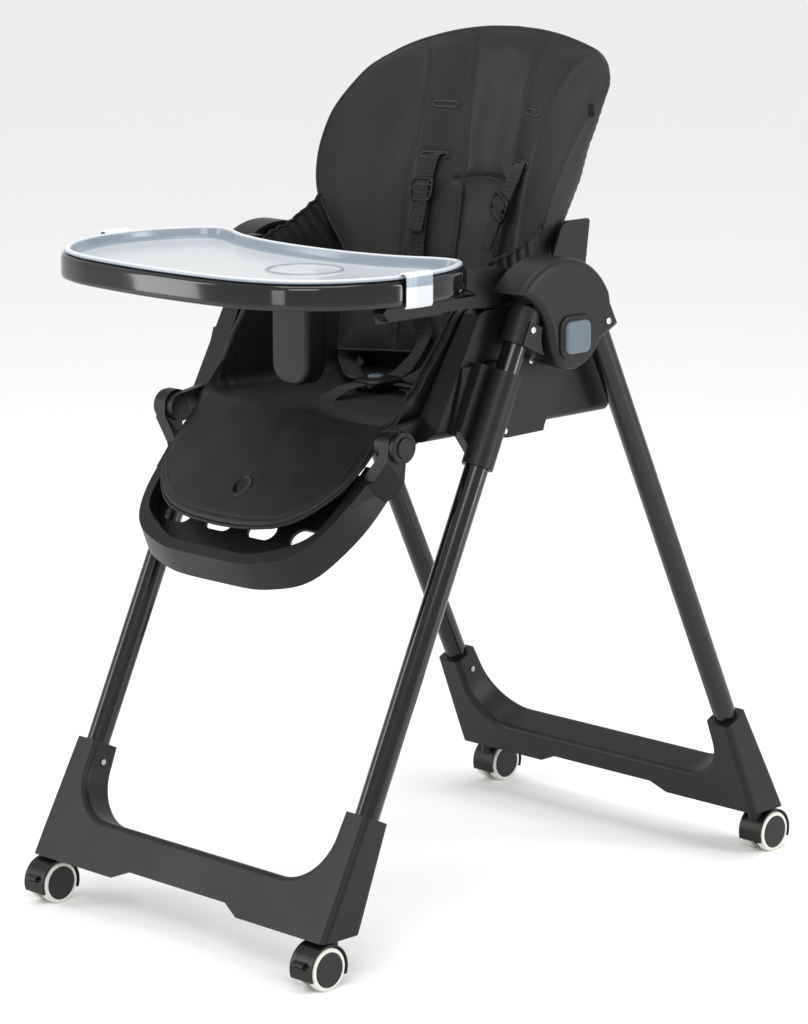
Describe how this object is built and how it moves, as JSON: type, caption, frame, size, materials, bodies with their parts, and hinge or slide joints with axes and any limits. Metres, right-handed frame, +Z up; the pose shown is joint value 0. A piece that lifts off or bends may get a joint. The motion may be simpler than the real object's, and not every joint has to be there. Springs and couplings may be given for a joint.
{
  "type": "folding baby high chair",
  "caption": "Folding child's high chair with a padded bucket seat, reclining back, tilting footrest, sliding tray with lift-off insert, harness and swivel casters on black tube legs.",
  "frame": {"origin": "centre of the bounding box's underside, on the floor under the wheels", "axes": "+X to the right seen from the front, -Y towards the tray and the front, +Z up"},
  "size_m": [0.536, 0.8378, 1.022],
  "materials": {
    "frame_enamel": "gloss black stoved enamel",
    "foot_plastic": "fine moulded texture",
    "shell_plastic": "fine moulded texture",
    "bezel_plastic": "satin",
    "button_plastic": "satin slate grey",
    "caster_plastic": "satin",
    "cap_plastic": "satin",
    "tyre_rubber": "soft off-white tread",
    "rivet_steel": "bright domed heads",
    "screw_steel": "zinc plated",
    "tray_gloss": "high gloss black",
    "insert_plastic": "milky translucent",
    "pad_leatherette": "soft charcoal leatherette",
    "webbing": "ribbed woven webbing",
    "harness_plastic": "satin black"
  },
  "bodies": {
    "front_frame": {"front_foot": "foot_plastic", "front_upper_tubes": "frame_enamel", "front_lower_tubes": "frame_enamel", "front_foot_screws": "screw_steel", "hub_collar_left": "shell_plastic", "hub_collar_right": "shell_plastic", "hub_pins": "screw_steel", "collar_rivets": "rivet_steel"},
    "rear_frame": {"rear_foot": "foot_plastic", "rear_upper_tubes": "frame_enamel", "rear_lower_tubes": "frame_enamel", "rear_foot_screws": "screw_steel", "hub_shell_left": "shell_plastic", "hub_shell_right": "shell_plastic", "button_bezels": "bezel_plastic", "shell_rivets": "rivet_steel"},
    "seat": {"seat_carriage_left": "shell_plastic", "seat_carriage_right": "shell_plastic", "carriage_rivets": "rivet_steel", "seat_shell": "shell_plastic", "seat_pad": "pad_leatherette", "recline_pin": "screw_steel", "buckle": "harness_plastic", "lap_straps": "webbing"},
    "backrest": {"back_pad": "pad_leatherette", "back_shell": "shell_plastic", "back_cheeks": "shell_plastic", "recline_housing": "shell_plastic", "shoulder_straps": "webbing", "strap_adjusters": "harness_plastic"},
    "recline_lever": {"recline_lever": "bezel_plastic"},
    "footrest": {"footrest_frame": "shell_plastic", "footrest_knobs": "shell_plastic", "calf_pad": "pad_leatherette"},
    "armrests": {"armrest_left": "shell_plastic", "armrest_right": "shell_plastic", "arm_pins": "rivet_steel"},
    "tray": {"tray_base": "tray_gloss", "tray_sliders": "shell_plastic", "crotch_post": "shell_plastic"},
    "tray_insert": {"tray_insert": "insert_plastic", "insert_clips": "insert_plastic"},
    "fold_button_left": {"fold_button_left": "button_plastic"},
    "footrest_button_left": {"footrest_button_left": "bezel_plastic"},
    "fold_button_right": {"fold_button_right": "button_plastic"},
    "footrest_button_right": {"footrest_button_right": "bezel_plastic"},
    "caster_front_left": {"caster_front_left": "caster_plastic"},
    "wheels_front_left": {"wheels_front_left": "cap_plastic", "tyres_front_left": "tyre_rubber"},
    "brake_pedal_left": {"brake_pedal_left": "caster_plastic"},
    "caster_front_right": {"caster_front_right": "caster_plastic"},
    "wheels_front_right": {"wheels_front_right": "cap_plastic", "tyres_front_right": "tyre_rubber"},
    "brake_pedal_right": {"brake_pedal_right": "caster_plastic"},
    "caster_rear_left": {"caster_rear_left": "caster_plastic"},
    "wheels_rear_left": {"wheels_rear_left": "cap_plastic", "tyres_rear_left": "tyre_rubber"},
    "caster_rear_right": {"caster_rear_right": "caster_plastic"},
    "wheels_rear_right": {"wheels_rear_right": "cap_plastic", "tyres_rear_right": "tyre_rubber"}
  },
  "joints": [
    {"name": "frame_fold", "type": "hinge", "parent": "front_frame", "child": "rear_frame", "pos_m": [0, 0.00107, 0.697], "axis": [1, 0, 0], "range_deg": [-50, 0]},
    {"name": "seat_height", "type": "slide", "parent": "front_frame", "child": "seat", "axis": [0, -0.4226, -0.9063], "range_m": [0, 0.2]},
    {"name": "backrest_recline", "type": "hinge", "parent": "seat", "child": "backrest", "pos_m": [0, 0.09707, 0.613], "axis": [-1, 0, 0], "range_deg": [0, 35]},
    {"name": "recline_release", "type": "slide", "parent": "backrest", "child": "recline_lever", "axis": [0, 0, 1], "range_m": [0, 0.012], "stiffness_N_per_m": 300, "springref_m": -0.002},
    {"name": "footrest_tilt", "type": "hinge", "parent": "seat", "child": "footrest", "pos_m": [0, -0.21593, 0.5865], "axis": [-1, 0, 0], "range_deg": [-35, 40]},
    {"name": "armrests_raise", "type": "hinge", "parent": "seat", "child": "armrests", "pos_m": [0, -0.06793, 0.753], "axis": [-1, 0, 0], "range_deg": [0, 85]},
    {"name": "tray_depth", "type": "slide", "parent": "armrests", "child": "tray", "axis": [0, -1, 0], "range_m": [0, 0.06]},
    {"name": "insert_lift", "type": "slide", "parent": "tray", "child": "tray_insert", "axis": [0, 0, 1], "range_m": [0, 0.035]},
    {"name": "fold_button_left_press", "type": "slide", "parent": "rear_frame", "child": "fold_button_left", "axis": [1, 0, 0], "range_m": [0, 0.005], "stiffness_N_per_m": 400, "springref_m": -0.002},
    {"name": "footrest_button_left_press", "type": "slide", "parent": "footrest", "child": "footrest_button_left", "axis": [1, 0, 0], "range_m": [0, 0.004], "stiffness_N_per_m": 400, "springref_m": -0.002},
    {"name": "fold_button_right_press", "type": "slide", "parent": "rear_frame", "child": "fold_button_right", "axis": [-1, 0, 0], "range_m": [0, 0.005], "stiffness_N_per_m": 400, "springref_m": -0.002},
    {"name": "footrest_button_right_press", "type": "slide", "parent": "footrest", "child": "footrest_button_right", "axis": [-1, 0, 0], "range_m": [0, 0.004], "stiffness_N_per_m": 400, "springref_m": -0.002},
    {"name": "caster_front_left_swivel", "type": "hinge", "parent": "front_frame", "child": "caster_front_left", "pos_m": [-0.231, -0.36246, 0.05], "axis": [0, 0, 1], "continuous": true},
    {"name": "wheels_front_left_roll", "type": "hinge", "parent": "caster_front_left", "child": "wheels_front_left", "pos_m": [-0.231, -0.37946, 0.025], "axis": [1, 0, 0], "continuous": true},
    {"name": "brake_left_press", "type": "hinge", "parent": "caster_front_left", "child": "brake_pedal_left", "pos_m": [-0.231, -0.37946, 0.025], "axis": [1, 0, 0], "range_deg": [0, 3]},
    {"name": "caster_front_right_swivel", "type": "hinge", "parent": "front_frame", "child": "caster_front_right", "pos_m": [0.231, -0.36246, 0.05], "axis": [0, 0, 1], "continuous": true},
    {"name": "wheels_front_right_roll", "type": "hinge", "parent": "caster_front_right", "child": "wheels_front_right", "pos_m": [0.231, -0.37946, 0.025], "axis": [1, 0, 0], "continuous": true},
    {"name": "brake_right_press", "type": "hinge", "parent": "caster_front_right", "child": "brake_pedal_right", "pos_m": [0.231, -0.37946, 0.025], "axis": [1, 0, 0], "range_deg": [0, 3]},
    {"name": "caster_rear_left_swivel", "type": "hinge", "parent": "rear_frame", "child": "caster_rear_left", "pos_m": [-0.231, 0.37313, 0.05], "axis": [0, 0, 1], "continuous": true},
    {"name": "wheels_rear_left_roll", "type": "hinge", "parent": "caster_rear_left", "child": "wheels_rear_left", "pos_m": [-0.231, 0.39013, 0.025], "axis": [1, 0, 0], "continuous": true},
    {"name": "caster_rear_right_swivel", "type": "hinge", "parent": "rear_frame", "child": "caster_rear_right", "pos_m": [0.231, 0.37313, 0.05], "axis": [0, 0, 1], "continuous": true},
    {"name": "wheels_rear_right_roll", "type": "hinge", "parent": "caster_rear_right", "child": "wheels_rear_right", "pos_m": [0.231, 0.39013, 0.025], "axis": [1, 0, 0], "continuous": true}
  ]
}
